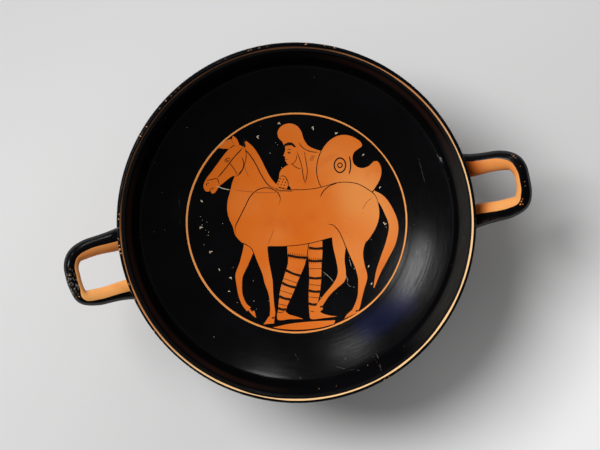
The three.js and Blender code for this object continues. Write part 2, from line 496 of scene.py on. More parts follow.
def cupShine(tree, radius, height):
    # The steep inside of the lip is dull, and nothing glints where the surface turns away.
    dull = times(
        tree,
        nearValue(tree, radius, *gloss["dull"], 0.8),
        insideLip(tree, radius, height),
        ramped(tree, height, 87.2 * mm, 88 * mm),
    )
    edge = ramped(tree, radius, 138.5 * mm, 139.3 * mm)
    edge = times(tree, edge, ramped(tree, height, 90 * mm, 100 * mm))
    shine = sums(tree, "ADD", times(tree, dull, -gloss["specular"]), gloss["specular"])
    return times(tree, shine, facingMask(tree, 0.68, 0.90), ramped(tree, edge, 0.0, 1.0, 1.0, 0.15))


def handleWear(tree, place, flat):
    # Handles are rubbed along their outer edges, and one is scuffed.
    rubbed = patchy(tree, place, 620.0, 4.0, 0.69, 0.72)
    rubbed = times(tree, rubbed, patchy(tree, place, 60.0, 1.0, 0.52, 0.64), 0.6)
    stretched = vectors(tree, "MULTIPLY", place, (1.0, 0.4, 1.0))
    scuff = patchy(tree, stretched, 1100.0, 3.0, 0.56, 0.62, 0.0, 0.7)
    return rubbed, times(tree, scuff, nearSpot(tree, flat, *gloss["scuffed"]))


def blackSlip(name, chips, onCup):
    tree, shader = newFinish(name)
    at = place, flat, radius, height = cupPlace(tree)
    cloud = noise(tree, place, 26.0, 4.0)
    cloudy = [c * 1.5 for c in gloss["colour"]]
    colour = blended(tree, ramped(tree, cloud, 0.35, 0.7), gloss["colour"], cloudy)
    streaks = brushStreaks(tree, flat, radius)
    rough = ramped(tree, streaks, 0.25, 0.75, gloss["roughness"] - 0.035, gloss["roughness"] + 0.035)
    lost = chipMask(tree, place, flat, height, chips)
    if onCup:
        fadeSide = towards(tree, flat, gloss["rimLineFaintest"])
        line, lineColour = rimLine(tree, at, fadeSide)
        colour = blended(tree, line, lipColours(tree, at, colour, cloud, streaks), lineColour)
        rough = sums(tree, "ADD", rough, times(tree, line, 0.15))
        rubbed, scratched = rubbedRim(tree, at, fadeSide), scratchMask(tree, place, flat, height)
        shine = cupShine(tree, radius, height)
        marks = turningMarks(tree, radius, height, place)
    else:
        red = patchy(tree, place, 500.0, 2.0, 0.42, 0.60)
        red = times(tree, red, nearLine(tree, place, gloss["redStreak"]))
        colour = blended(tree, red, colour, gloss["red"])
        rubbed, scratched = handleWear(tree, place, flat)
        shine = times(tree, facingMask(tree, 0.35, 0.80), gloss["specularOnHandles"])
        marks = noise(tree, place, 130.0, 3.0)
    lost = sums(tree, "MAXIMUM", lost, rubbed)
    colour = blended(tree, lost, colour, clay["rubbed" if onCup else "chip"])
    specks = times(tree, speckled(tree, place, 240.0, 0, (0.93, 0.95), (0.10, 0.05)), 0.35)
    specks = sums(tree, "MAXIMUM", specks, scratched)
    colour = blended(tree, specks, colour, gloss["scratched"])
    rough = sums(tree, "ADD", rough, times(tree, sums(tree, "MAXIMUM", lost, specks), 0.35))
    marks = sums(tree, "ADD", marks, times(tree, streaks, 0.25))
    marks = sums(tree, "SUBTRACT", marks, times(tree, lost, 1.6))
    finished(tree, shader, colour, rough, shine, marks, 0.16, 0.0006)


def pictureClay(tree, flat, radius, broad):
    # Paler outside the picture, and in places in it: uneven tone, and on its right partly a painted sheen.
    share = ramped(tree, radius, 86.5 * mm, 88.5 * mm, 0.0, 0.75)
    share = sums(tree, "ADD", share, ramped(tree, broad, 0.36, 0.70, 0.0, 0.14))
    # paler spots, partly a painted sheen over the horse's hindquarters
    for x, y, spread, strength in clay["paler"]:
        share = sums(tree, "ADD", share, times(tree, nearSpot(tree, flat, x, y, spread), strength))
    return blended(tree, share, clay["colour"], clay["pale"])


def handleClay(tree, place, radius, broad):
    # Pale on the left, darker on the right, with painted shade on the upper arms and a painted shadow by the
    # wall on the right.
    x, y, _ = addNode(tree, "SeparateXYZ", {0: place})
    onRight = ramped(tree, x, -10 * mm, 10 * mm)
    upper = ramped(tree, y, -4 * mm, 8 * mm)
    # painted shade: the right handle darkens by the wall, and both upper arms turn redder
    nearWall = times(tree, ramped(tree, radius, 138 * mm, 160 * mm, 1.0, 0.0), onRight)
    share = times(
        tree,
        ramped(tree, broad, 0.35, 0.75, 0.85, 1.0),
        ramped(tree, nearWall, 0.0, 1.0, 1.0, 0.2),
        ramped(tree, upper, 0.0, 1.0, 1.0, 0.62),
    )
    colour = blended(tree, share, clay["colour"], blended(tree, onRight, clay["paleLeft"], clay["pale"]))
    # painted shadow where the right handle meets the wall, deepest on its upper arm
    shade = times(tree, nearWall, ramped(tree, upper, 0.0, 1.0, 0.65, 0.95))
    return blended(tree, shade, colour, clay["wallShadow"])


def barePot(name, onCup):
    tree, shader = newFinish(name)
    place, flat, radius, height = cupPlace(tree)
    broad = noise(tree, place, 14.0, 3.0)
    stain = noise(tree, place, 31.0, 4.0, 0.6)
    if onCup:
        colour = pictureClay(tree, flat, radius, broad)
        marks = turningMarks(tree, radius, height, place)
    else:
        colour = handleClay(tree, place, radius, broad)
        marks = noise(tree, place, 160.0, 3.0)
    stained = ramped(tree, stain, 0.56, 0.80, 0.0, 0.5 if onCup else 0.25)
    colour = blended(tree, stained, colour, clay["stain"])
    for x, y, spread, strength in clay["redder"] if onCup else ():
        patch = ramped(tree, stain, 0.40, 0.60, 0.3 * strength, strength)
        colour = blended(tree, times(tree, nearSpot(tree, flat, x, y, spread), patch), colour, clay["stain"])
    grain = noise(tree, place, 1400.0, 3.0)
    colour = blended(tree, ramped(tree, grain, 0.60, 0.78, 0.0, 0.30), colour, clay["stain"])
    pits = times(tree, speckled(tree, place, 330.0, 1, (0.90, 0.93), (0.13, 0.06)), 0.55)
    colour = blended(tree, pits, colour, clay["pit"])
    rough = ramped(tree, broad, 0.3, 0.7, clay["roughness"] + 0.06, clay["roughness"] - 0.04)
    marks = sums(tree, "ADD", marks, times(tree, grain, 0.5))
    finished(tree, shader, colour, rough, clay["specular"], marks, 0.18, 0.0005)


def brushed(name, colour, roughness):
    # The painter's fine lines and dabs: one colour, with the brush's streaks in the sheen.
    tree, shader = newFinish(name)
    streaks = noise(tree, addNode(tree, "TexCoord")["Object"], 900.0, 3.0)
    rough = ramped(tree, streaks, 0.3, 0.7, roughness - 0.08, roughness + 0.08)
    finished(tree, shader, colour, rough, 0.3, streaks, 0.15, 0.0003)


blackSlip("blackGloss", gloss["chips"], True)
barePot("reservedClay", True)
brushed("reliefLine", (0.013, 0.007, 0.005), 0.34)
brushed("thinWash", (0.36, 0.085, 0.016), 0.45)
brushed("paleColour", (0.50, 0.42, 0.30), 0.65)
blackSlip("handleGloss", gloss["handleChips"], False)
barePot("handleClay", False)
print("finishes:", len(finishes), flush=True)


# The turned body: bowl, lip, stem and foot


def insideHeight(r):
    # The bowl's inside rises with a power of the radius.
    rise = cup["crease"][1] - cup["floor"]
    return cup["floor"] + rise * (r / cup["crease"][0]) ** cup["bowlPower"]


def outsidePoint(r):
    # The outer wall, one wall's thickness out from the inside at radius r.
    creaseR, creaseZ = cup["crease"]
    slope = (creaseZ - cup["floor"]) * cup["bowlPower"] / creaseR
    lean = math.atan(slope * (r / creaseR) ** (cup["bowlPower"] - 1))
    wall = cup["wallAtLip"] + (cup["wallAtStem"] - cup["wallAtLip"]) * (1 - r / creaseR) ** 1.5
    return (r + wall * math.sin(lean), insideHeight(r) - wall * math.cos(lean))


def bent(start, control, end, count):
    # A single bend from one point to another, pulled towards the control point.
    t = np.linspace(0, 1, count + 1)[1:, None]
    a, b, c = (np.array(p, float) for p in (start, control, end))
    return [tuple(p) for p in (1 - t) ** 2 * a + 2 * t * (1 - t) * b + t * t * c]


def sharpProfile():
    # From the middle of the floor, out over the lip, and down to the top of the hollow under the foot.
    rim, height, bead = cup["rim"], cup["height"], cup["rimRound"]
    creaseR, creaseZ = cup["crease"]
    collarR, collarZ = cup["collar"]
    waistR, waistZ = cup["waist"]
    foot, edge, ledge = cup["foot"], cup["footEdge"], cup["ledge"]
    hollowEdge = foot - 1 - cup["restingRing"]
    points = [(r, insideHeight(r)) for r in np.linspace(0, creaseR - cup["easedFrom"], 60)]
    lip = [points[-1], (creaseR + 0.55, creaseZ + 1.2), *cup["lipInside"], (rim - 3, height - 1.1)]
    points += [tuple(p) for p in span(lip, 0.9)][1:]
    for degrees in range(125, -20, -15):
        a = math.radians(degrees)
        points.append((rim - bead + bead * math.cos(a), height - bead + bead * math.sin(a)))
    points += bent(points[-1], (131.9, creaseZ + 9.7), (130.4, creaseZ - 0.9), 16)
    points += [outsidePoint(r) for r in np.linspace(creaseR, 22, 50)]
    stem = [(collarR, collarZ + 0.8), (collarR, collarZ - 0.8), (14.6, collarZ - 2)]
    points += [tuple(p) for p in span(stem, 0.5)]
    stem = stem[2:] + [(waistR, waistZ), (19, 20.5), (30, 14.2), (ledge - 0.8, edge + 2.2)]
    points += [tuple(p) for p in span(stem, 1)]
    points += [(ledge, edge + 0.9)]
    points += [tuple(p) for p in span([(foot - 1.6, edge), (foot, edge * 0.55), (foot - 1, 0)], 0.8)]
    points += [(hollowEdge + 0.8, 0)]
    hollow = cup["hollow"]
    under = [(hollowEdge, 2.6), (34, 4.6), (19, 9), (9.5, 18.5), (4.5, hollow - 1.5), (0, hollow)]
    return np.array(points + [tuple(p) for p in span(under, 1)])


def softened(points, finest=0.2):
    # Every corner rounded, as slip and handling leave it.
    along = running(points)
    even = np.linspace(0, along[-1], int(along[-1] / finest))
    fine = np.stack([np.interp(even, along, points[:, k]) for k in (0, 1)], 1)
    reach = int(3 * cup["softness"] / finest)
    weights = np.exp(-0.5 * (np.arange(-reach, reach + 1) * finest / cup["softness"]) ** 2)
    padded = np.vstack([2 * fine[0] - fine[reach:0:-1], fine, 2 * fine[-1] - fine[-2 : -reach - 2 : -1]])
    return np.stack([np.convolve(padded[:, k], weights / weights.sum(), "valid") for k in (0, 1)], 1)


def spaced(fine, longest=3.4, sharpest=math.radians(12)):
    # Fewer points where the profile is straight, more where it turns.
    steps = np.diff(fine, axis=0)
    angle = np.unwrap(np.arctan2(steps[:, 1], steps[:, 0]))
    turning = np.abs(np.diff(angle, append=angle[-1]))
    cost = np.concatenate([[0], np.cumsum(np.linalg.norm(steps, axis=1) / longest + turning / sharpest)])
    wanted = np.linspace(0, cost[-1], math.ceil(cost[-1]) + 1)
    return np.stack([np.interp(wanted, cost, fine[:, k]) for k in (0, 1)], 1)


fineProfile = softened(sharpProfile())
outerFrom = int(np.argmax(fineProfile[:, 1])) + 5
outerWall = fineProfile[outerFrom:][fineProfile[outerFrom:, 1] > cup["collar"][1] + 4]


def wallRadius(z):
    # The outer wall's radius at a height.
    order = np.argsort(outerWall[:, 1])
    return np.interp(z, outerWall[order, 1], outerWall[order, 0])


def swellRim(body):
    # The rim's edge stands out a little further in some places than in others.
    vertices = body.data.vertices
    flatList = np.empty(len(vertices) * 3)
    vertices.foreach_get("co", flatList)
    x, y, z = flatList.reshape(-1, 3).T / mm
    r, a = np.hypot(x, y), np.arctan2(y, x)
    even, once, onceAt, twice, twiceAt = cup["rimSwell"]
    swell = np.maximum(0, even + once * np.cos(a - onceAt) + twice * np.cos(2 * (a - twiceAt)))
    grown = 1 + swell * ease(r, 138.2, 139.3) * ease(z, 98, 103) / np.maximum(r, 1)
    vertices.foreach_set("co", (np.column_stack([x * grown, y * grown, z]) * mm).ravel())
    body.data.update()


def turnedBody():
    start = int(np.argmax(fineProfile[:, 0] >= cup["pictureEdge"]))
    edge = cup["pictureEdge"]
    first = (edge, float(np.interp(edge, fineProfile[: start + 1, 0], fineProfile[: start + 1, 1])))
    profile = spaced(np.vstack([first, fineProfile[start + 1 :]]))
    bpy.ops.mesh.primitive_plane_add(size=1 * mm, location=(profile[0][0] * mm, 0, profile[0][1] * mm))
    body = bpy.context.object
    body.name = "kylixCup"
    bpy.ops.object.transform_apply(location=True)
    bpy.ops.object.mode_set(mode="EDIT")
    bpy.ops.mesh.select_mode(type="VERT")
    bpy.ops.mesh.select_all(action="SELECT")
    bpy.ops.mesh.merge(type="CENTER")
    for dr, dz in np.diff(profile, axis=0) * mm:
        bpy.ops.mesh.extrude_region_move(TRANSFORM_OT_translate={"value": (dr, 0, dz)})
    bpy.ops.mesh.select_all(action="SELECT")
    bpy.ops.mesh.spin(steps=cup["around"], angle=2 * math.pi, center=(0, 0, 0), axis=(0, 0, 1))
    bpy.ops.mesh.select_all(action="SELECT")
    bpy.ops.mesh.remove_doubles(threshold=0.01 * mm)
    bpy.ops.mesh.select_all(action="DESELECT")
    bpy.ops.mesh.select_non_manifold()
    bpy.ops.mesh.edge_face_add()  # a lid over the picture's place, until the handles are on
    bpy.ops.mesh.select_all(action="SELECT")
    bpy.ops.mesh.normals_make_consistent(inside=False)
    bpy.ops.object.mode_set(mode="OBJECT")
    swellRim(body)
    print("turned body:", len(profile), "points,", len(body.data.polygons), "faces", flush=True)
    return body


# The two handles: rolled clay bent to a loop, its ends smoothed on to the wall


def handlePath(arms):
    # Out along one arm, round the end bar and back, climbing on the way out.
    level, reach, low, high = (handle[k] for k in ("level", "reach", "low", "high"))
    root, straight = handle["rootSpread"], handle["armSpread"]
    first, second = (
        [
            (98, root + 0.6 + atWall),
            (level, root + atWall),
            (level + 22, straight + 1.4 + halfWay),
            (reach - 13, straight + before),
            (reach - 4.4 + 0.7 * corner, straight - 3.4 + before + 0.7 * corner),
            (reach - 0.6, straight - 10.4 + 0.6 * before),
        ]
        for atWall, halfWay, before, corner, _ in arms
    )
    plan = span(first + [(reach, 0)] + [(x, -y) for x, y in reversed(second)], 0.5)
    climb = (np.maximum(0, plan[:, 0] - level) / (reach - level)) ** handle["climb"]
    return np.column_stack([plan, low + (high - low) * climb])


def borderAngles(border, count):
    # Where the black stops along the loop's top and underside, from the first root round to the second.
    places, degrees = zip(*border)
    top = np.interp(np.linspace(0, 1, count), places, degrees)
    sway = np.sin(np.linspace(0, 19, count)) * 1.6 + np.sin(np.linspace(2, 43, count)) * 0.8
    return np.radians(top + sway), np.radians(272 - sway)


def handleGirth(path, arms):
    # Half the clay's width and depth along the loop.
    x, y = path[:, 0], path[:, 1]
    outward = ease(x, handle["level"] - 6, handle["reach"] - 14)
    bend = ease(x, handle["reach"] - 18, handle["reach"] - 2)
    wide = handle["rootWidth"] + (handle["armWidth"] - handle["rootWidth"]) * outward
    wide = wide - (handle["armWidth"] - handle["barWidth"]) * bend
    thick = np.where(y > 0, arms[0][4], arms[1][4]) * ease(x, handle["level"] - 6, handle["level"] + 14)
    full = handle["cornerFull"] * np.exp(-(((x - handle["reach"] + 9) / 8) ** 2))
    wide = wide + (thick + full) * ease(np.abs(y), 3, 13)
    return wide, handle["rootDepth"] + (handle["barDepth"] - handle["rootDepth"]) * outward


def handleLines(path, along, arms, border):
    # One line of points for each side of the section, and where it starts and ends inside the wall.
    tangent = np.gradient(path, along, axis=0)
    tangent /= np.linalg.norm(tangent, axis=1)[:, None]
    up = np.array([handle["low"] - handle["high"], 0, handle["reach"] - handle["level"]])
    side = np.cross(up / np.linalg.norm(up), tangent)
    side /= np.linalg.norm(side, axis=1)[:, None]
    over = np.cross(tangent, side)
    wide, deep = handleGirth(path, arms)
    top, bottom = borderAngles(border, len(path))
    sides, half = handle["sides"], handle["sides"] // 2
    lines = []
    for k in range(sides):
        if k < half:
            angle = top + (bottom - top) * k / half
        else:
            angle = bottom + (top + 2 * math.pi - bottom) * (k - half) / half
        c, s = np.cos(angle)[:, None], np.sin(angle)[:, None]
        line = path + side * wide[:, None] * c + over * deep[:, None] * s
        beyond = np.hypot(line[:, 0], line[:, 1]) - wallRadius(line[:, 2])
        middle = len(line) // 2
        firstTouch = line[:middle][np.argmin(np.abs(beyond[:middle])), 0]
        lastTouch = line[middle:][np.argmin(np.abs(beyond[middle:])), 0]
        wall = np.where(np.arange(len(line)) < middle, firstTouch, lastTouch)
        near = np.clip(1 - (line[:, 0] - wall) / handle["flareReach"], 0, 1.4) ** 2
        upright = np.where(s > 0, handle["flareAbove"], handle["flareBelow"])
        spread = handle["flareBeside"] * c**2 + upright * s**2
        line = line + (side * c + over * s) * spread * near[:, None]
        beyond = np.hypot(line[:, 0], line[:, 1]) - wallRadius(line[:, 2])
        inside = beyond < -handle["inWall"]
        first = int(np.max(np.nonzero(inside[:middle])[0]))
        last = middle + int(np.min(np.nonzero(inside[middle:])[0]))
        lines.append((line, along[first], along[last]))
    return lines


def sweptHandle(name, facing, arms, border):
    # Each line of vertices starts at its own place in the wall, and they fall into step after a few rings.
    path = handlePath(arms)
    along = running(path)
    lines = handleLines(path, along, arms, border)
    rings, sides = handle["rings"], handle["sides"]
    start, end = max(a for _, a, _ in lines), min(b for _, _, b in lines)
    places = np.linspace(start, end, rings)
    settle = np.clip(1 - np.arange(rings) / 12, 0, 1) ** 2
    points = np.zeros((rings, sides, 3))
    for k, (line, a, b) in enumerate(lines):
        where = places + (a - start) * settle + (b - end) * settle[::-1]
        points[:, k] = np.stack([np.interp(where, along, line[:, axis]) for axis in range(3)], 1)
    faces, paint, corners = [], [], []
    left, low, wide, tall = baking[name]
    for i in range(rings - 1):
        for k in range(sides):
            n = (k + 1) % sides
            faces.append((i * sides + k, i * sides + n, (i + 1) * sides + n, (i + 1) * sides + k))
            paint.append(finishes.index("handleClay" if k < sides // 2 else "handleGloss"))
            for di, dk in ((0, 0), (0, 1), (1, 1), (1, 0)):
                corners += [left + wide * (k + dk) / sides, low + tall * (i + di) / (rings - 1)]
    for ring in (range(sides), range((rings - 1) * sides, rings * sides)):
        faces.append(tuple(reversed(ring)) if ring.start == 0 else tuple(ring))
        paint.append(finishes.index("handleGloss"))
        corners += [left, low] * sides
    piece = newPiece(name, points.reshape(-1, 3), faces, paint)
    piece.data.transform(Matrix.Rotation(facing, 4, "Z"))
    piece.data.uv_layers.new(name="OFBake").data.foreach_set("uv", corners)
    piece.data.shade_smooth()
    print(name + ":", len(faces), "faces", flush=True)
    return piece


# The picture in the middle of the floor: a groom behind a walking horse, left in the clay's own
# colour against the black. Its outlines are in units of the circle's radius, upright, centred.

picture = {
    "radius": 88.7,  # of the reserved circle
    "ringWidth": 1.35,
    "centre": (-0.2, 0.05),  # drawn a little off the cup's middle
    "plainSpacing": 4.6,  # between points where nothing is painted
    "outlineSpacing": 1.3,
    "contour": 0.62,  # width of the fine dark lines
}
paints = {"gloss": 0, "clay": 1, "line": 2, "wash": 3, "pale": 4}  # each one's place among the finishes


def smoothOutline(points):
    # A closed smooth outline. A point with a third number is a corner.
    flat = [p[:2] for p in points]
    corners = [i for i, p in enumerate(points) if len(p) > 2]
    step = picture["outlineSpacing"] / picture["radius"]
    if not corners:
        wrapped = span(flat[-3:] + flat + flat[:3], step)
        start = int(np.argmin(np.linalg.norm(wrapped[: len(wrapped) // 2] - flat[0], axis=1)))
        after = wrapped[start + 1 :]
        far = len(wrapped) // 3
        end = start + 1 + far + int(np.argmin(np.linalg.norm(after[far:] - flat[0], axis=1)))
        return wrapped[start:end]
    flat = flat[corners[0] :] + flat[: corners[0]]
    corners = [c - corners[0] for c in corners] + [len(flat)]
    flat = flat + [flat[0]]
    runs = [span(flat[a : b + 1], step)[:-1] for a, b in zip(corners, corners[1:])]
    return np.vstack(runs)


def limb(points, taper=0.0):
    # A smooth stroke from a few points, each with half its width there. taper thins both ends.
    line = span(points, picture["outlineSpacing"] / picture["radius"])
    middle, half = line[:, :2], line[:, 2].copy()
    if taper:
        t = np.linspace(0, 1, len(half))
        half *= np.clip(np.minimum(t, 1 - t) / taper, 0.25, 1)
    along = np.gradient(middle, axis=0)
    along /= np.linalg.norm(along, axis=1)[:, None]
    across = np.column_stack([-along[:, 1], along[:, 0]]) * half[:, None]
    return np.vstack([middle + across, (middle - across)[::-1]])


def fineLine(points, width=1.0, taper=0.12):
    # A line of the brush, its width as a share of the usual one.
    half = picture["contour"] * width / 2 / picture["radius"]
    return limb([(x, y, half) for x, y in points], taper)


def disc(centre, radius, count=9, tall=1.0, lean=0.0):
    a = np.linspace(0, 2 * math.pi, count, endpoint=False)
    x, y = radius * np.cos(a), radius * tall * np.sin(a)
    c, s = math.cos(lean), math.sin(lean)
    return np.column_stack([centre[0] + x * c - y * s, centre[1] + x * s + y * c])


class Drawing(list):
    # Painted shapes, each over the ones before it.
    def area(self, points, paint="clay"):
        self.append((paint, smoothOutline(points)))

    def stroke(self, points, paint="clay", taper=0.0):
        self.append((paint, limb(points, taper)))

    def line(self, points, width=1.0, paint="line"):
        self.append((paint, fineLine(points, width)))

    def dot(self, centre, radius, *form, paint="line"):
        self.append((paint, disc(centre, radius, *form)))


def ringShapes():
    # Two circles drawn by hand with a brush on the wheel: never quite true.
    a = np.linspace(0, 2 * math.pi, 180, endpoint=False)
    width = picture["ringWidth"] / picture["radius"]
    outer = 1 + 0.0022 * np.sin(2 * a + 1) + 0.0012 * np.sin(7 * a)
    inner = outer - width * (1 + 0.16 * np.sin(a - 2.2) + 0.10 * np.sin(5 * a + 1))
    circles = [np.column_stack([r * np.cos(a), r * np.sin(a)]) for r in (outer, inner)]
    return list(zip(("clay", "gloss"), circles))


def groundShapes():
    strip = [(-0.215, -0.948, 1), (-0.06, -0.915), (0.12, -0.896), (0.35, -0.882, 1), (0.34, -0.915, 1),
             (0.2, -0.95), (0.02, -0.968), (-0.12, -0.962)]
    shapes = Drawing()
    shapes.area(strip)
    shapes.line([(-0.215, -0.955), (-0.1, -0.968), (0.06, -0.974), (0.22, -0.955),
                 (0.36, -0.915)], 1.4, "gloss")
    return shapes


def leggings(leg, bands):
    # A close-fitting trouser leg: heavy bands with a fringe of short strokes, and thin lines between them.
    shapes = Drawing()
    shapes.stroke(leg)
    line = span(leg, 0.004)
    middle, half = line[:, :2], line[:, 2]
    for share, kind in bands:
        i = int(share * (len(line) - 2))
        along = middle[i + 1] - middle[i]
        along = along / np.linalg.norm(along)
        across = np.array([-along[1], along[0]]) * half[i]
        a, b = middle[i] + across, middle[i] - across
        if kind == "thin":
            shapes.stroke([(*a, 0.0026), (*b, 0.0026)], "line")
            continue
        low = (a + b) / 2 + along * 0.006
        shapes.stroke([(*a, 0.012), (*low, 0.0105), (*b, 0.012)], "line")
        count = max(4, int(half[i] / 0.008))
        for k in range(count):
            foot = a + (b - a) * (k + 0.5) / count
            down = along * (0.028 if kind == "fringed" else 0.021)
            shapes.stroke([(*foot, 0.0026), (*(foot + down), 0.0016)], "line")
            if kind == "fringed":
                shapes.stroke([(*foot, 0.0026), (*(foot - down), 0.0016)], "line")
    return shapes


def groomShapes():
    # legs first: they show under the horse's belly
    nearLeg = [(0.012, -0.15, 0.1), (0.012, -0.28, 0.096), (-0.005, -0.38, 0.076), (-0.055, -0.52, 0.066),
               (-0.092, -0.63, 0.06), (-0.125, -0.75, 0.04), (-0.142, -0.85, 0.031)]
    farLeg = [(0.178, -0.12, 0.055), (0.172, -0.26, 0.064), (0.17, -0.38, 0.058), (0.17, -0.52, 0.054),
              (0.16, -0.64, 0.05), (0.148, -0.76, 0.036), (0.142, -0.86, 0.022)]
    farBands = ((0.15, "heavy"), (0.31, "fringed"), (0.41, "thin"), (0.52, "heavy"), (0.61, "thin"),
                (0.68, "heavy"), (0.76, "thin"), (0.84, "heavy"))
    nearBands = ((0.22, "fringed"), (0.44, "heavy"), (0.54, "thin"), (0.6, "heavy"), (0.7, "thin"),
                 (0.77, "heavy"), (0.86, "thin"), (0.91, "heavy"))
    shapes = leggings(farLeg, farBands)
    shapes += leggings(nearLeg, nearBands)
    shapes.line([(0.112, -0.16), (0.104, -0.24), (0.092, -0.32), (0.078, -0.38)], 1.1)
    for heel, toe in (((-0.178, -0.872), (0.062, -0.872)), ((0.118, -0.862), (0.372, -0.848))):
        x, y = heel
        long = toe[0] - x
        shoe = [(x + 0.005, y + 0.065, 1), (x, y + 0.02), (x + 0.01, y - 0.008),
                (x + 0.5 * long, y - 0.002), (*toe, 1), (x + 0.72 * long, y + 0.022),
                (x + 0.45 * long, y + 0.042), (x + 0.28 * long, y + 0.075, 1)]
        shapes.area(shoe)
        shapes.line([(x + 0.004, y + 0.062), (x + 0.14 * long, y + 0.055),
                     (x + 0.29 * long, y + 0.072)], 0.9)
    # the body down to the horse's back
    torso = [(-0.045, 0.545, 1), (-0.095, 0.52), (-0.145, 0.48), (-0.16, 0.425), (-0.15, 0.375),
             (-0.1, 0.35), (-0.06, 0.33), (-0.045, 0.26, 1), (0.26, 0.26, 1), (0.26, 0.6, 1),
             (0.12, 0.64), (0.04, 0.6)]
    shapes.area(torso)
    sleeve = [(-0.152, 0.425, 1), (-0.175, 0.375), (-0.205, 0.325, 1), (-0.15, 0.3), (-0.098, 0.295, 1),
              (-0.078, 0.345), (-0.09, 0.4), (-0.12, 0.425)]
    shapes.area(sleeve)
    shapes.line([(-0.155, 0.425), (-0.118, 0.428), (-0.088, 0.398), (-0.076, 0.345), (-0.094, 0.295)])
    for row in range(4):
        for column in range(4):
            spot = (-0.180 + 0.030 * column + 0.010 * row, 0.330 + 0.024 * row - 0.005 * column)
            if -0.19 + 0.012 * row < spot[0] < -0.092 + 0.004 * row:
                shapes.dot(spot, 0.0062, 7)
    # the face: a plain profile, straight nose, level mouth, rounded chin
    face = [(-0.105, 0.7, 1), (-0.103, 0.668), (-0.11, 0.64), (-0.122, 0.612, 1), (-0.103, 0.602),
            (-0.108, 0.59), (-0.1, 0.58), (-0.105, 0.568), (-0.094, 0.556), (-0.086, 0.538),
            (-0.055, 0.532), (-0.02, 0.552, 1), (0.03, 0.5, 1), (0.07, 0.62), (0.06, 0.72, 1)]
    shapes.area(face)
    shapes.line([(-0.088, 0.665), (-0.068, 0.671), (-0.046, 0.664)], 0.9)
    shapes.line([(-0.086, 0.64), (-0.07, 0.647), (-0.052, 0.64)], 0.8)
    shapes.line([(-0.084, 0.637), (-0.068, 0.632), (-0.054, 0.638)], 0.6)
    shapes.dot((-0.07, 0.64), 0.0055, 7)
    shapes.line([(-0.1, 0.579), (-0.08, 0.58)], 0.7)
    shapes.line([(-0.055, 0.532), (-0.02, 0.552), (-0.002, 0.585), (0.002, 0.62)], 0.8)
    # a tall soft cap with a brow band and hanging flaps
    cap = [(-0.118, 0.705, 1), (-0.128, 0.735), (-0.165, 0.775), (-0.172, 0.83), (-0.135, 0.88),
           (-0.07, 0.902), (-0.005, 0.885), (0.04, 0.835), (0.066, 0.76), (0.105, 0.705), (0.16, 0.675),
           (0.225, 0.655, 1), (0.2, 0.6), (0.1, 0.6), (0.07, 0.65, 1), (0.085, 0.56), (0.098, 0.47),
           (0.088, 0.4), (0.078, 0.362, 1), (0.062, 0.43), (0.05, 0.51), (0.028, 0.59), (0.004, 0.655),
           (-0.02, 0.69), (-0.06, 0.712)]
    shapes.area(cap)
    shapes.stroke([(-0.116, 0.706, 0.006), (-0.08, 0.72, 0.011), (-0.045, 0.718, 0.012),
                   (-0.012, 0.69, 0.008)], "line")
    for flap in (
        [(0.000, 0.655), (0.026, 0.59), (0.048, 0.51), (0.06, 0.43), (0.078, 0.36)],
        [(0.078, 0.36), (0.09, 0.41), (0.098, 0.47), (0.088, 0.55), (0.072, 0.63)],
        [(0.018, 0.735), (0.05, 0.69), (0.11, 0.655), (0.2, 0.64)],
        [(-0.045, 0.545), (-0.01, 0.51), (0.04, 0.492)],
    ):
        shapes.line(flap)
    for k in range(3):
        shapes.line([(0.118 + 0.012 * k, 0.56), (0.142 + 0.012 * k, 0.62)], 1.1, "wash")
    return shapes


def shieldShapes():
    # A light crescent shield with a plain ring and dot on it.
    edge = [(0.25, 0.29, 1), (0.212, 0.36), (0.188, 0.45), (0.192, 0.545), (0.225, 0.65), (0.29, 0.74),
            (0.375, 0.79), (0.46, 0.795), (0.54, 0.765), (0.588, 0.722), (0.592, 0.695), (0.56, 0.672),
            (0.522, 0.64), (0.508, 0.59), (0.52, 0.54), (0.562, 0.505), (0.615, 0.5), (0.66, 0.52),
            (0.7, 0.556), (0.728, 0.56), (0.758, 0.525), (0.77, 0.46), (0.752, 0.385), (0.7, 0.3, 1),
            (0.64, 0.25), (0.3, 0.25)]
    shapes = Drawing()
    shapes.area([(x - 0.008, y, *c) for x, y, *c in edge], "line")
    shapes.area(edge)
    shapes.dot((0.395, 0.525), 0.058, 20, 1.25)
    shapes.dot((0.395, 0.525), 0.046, 20, 1.28, paint="clay")
    shapes.dot((0.395, 0.525), 0.026, 14)
    shapes.dot((0.395, 0.525), 0.016, 12, paint="clay")
    shapes.line([(0.478, 0.61), (0.49, 0.56), (0.49, 0.49), (0.476, 0.44)], 1.7)
    return shapes


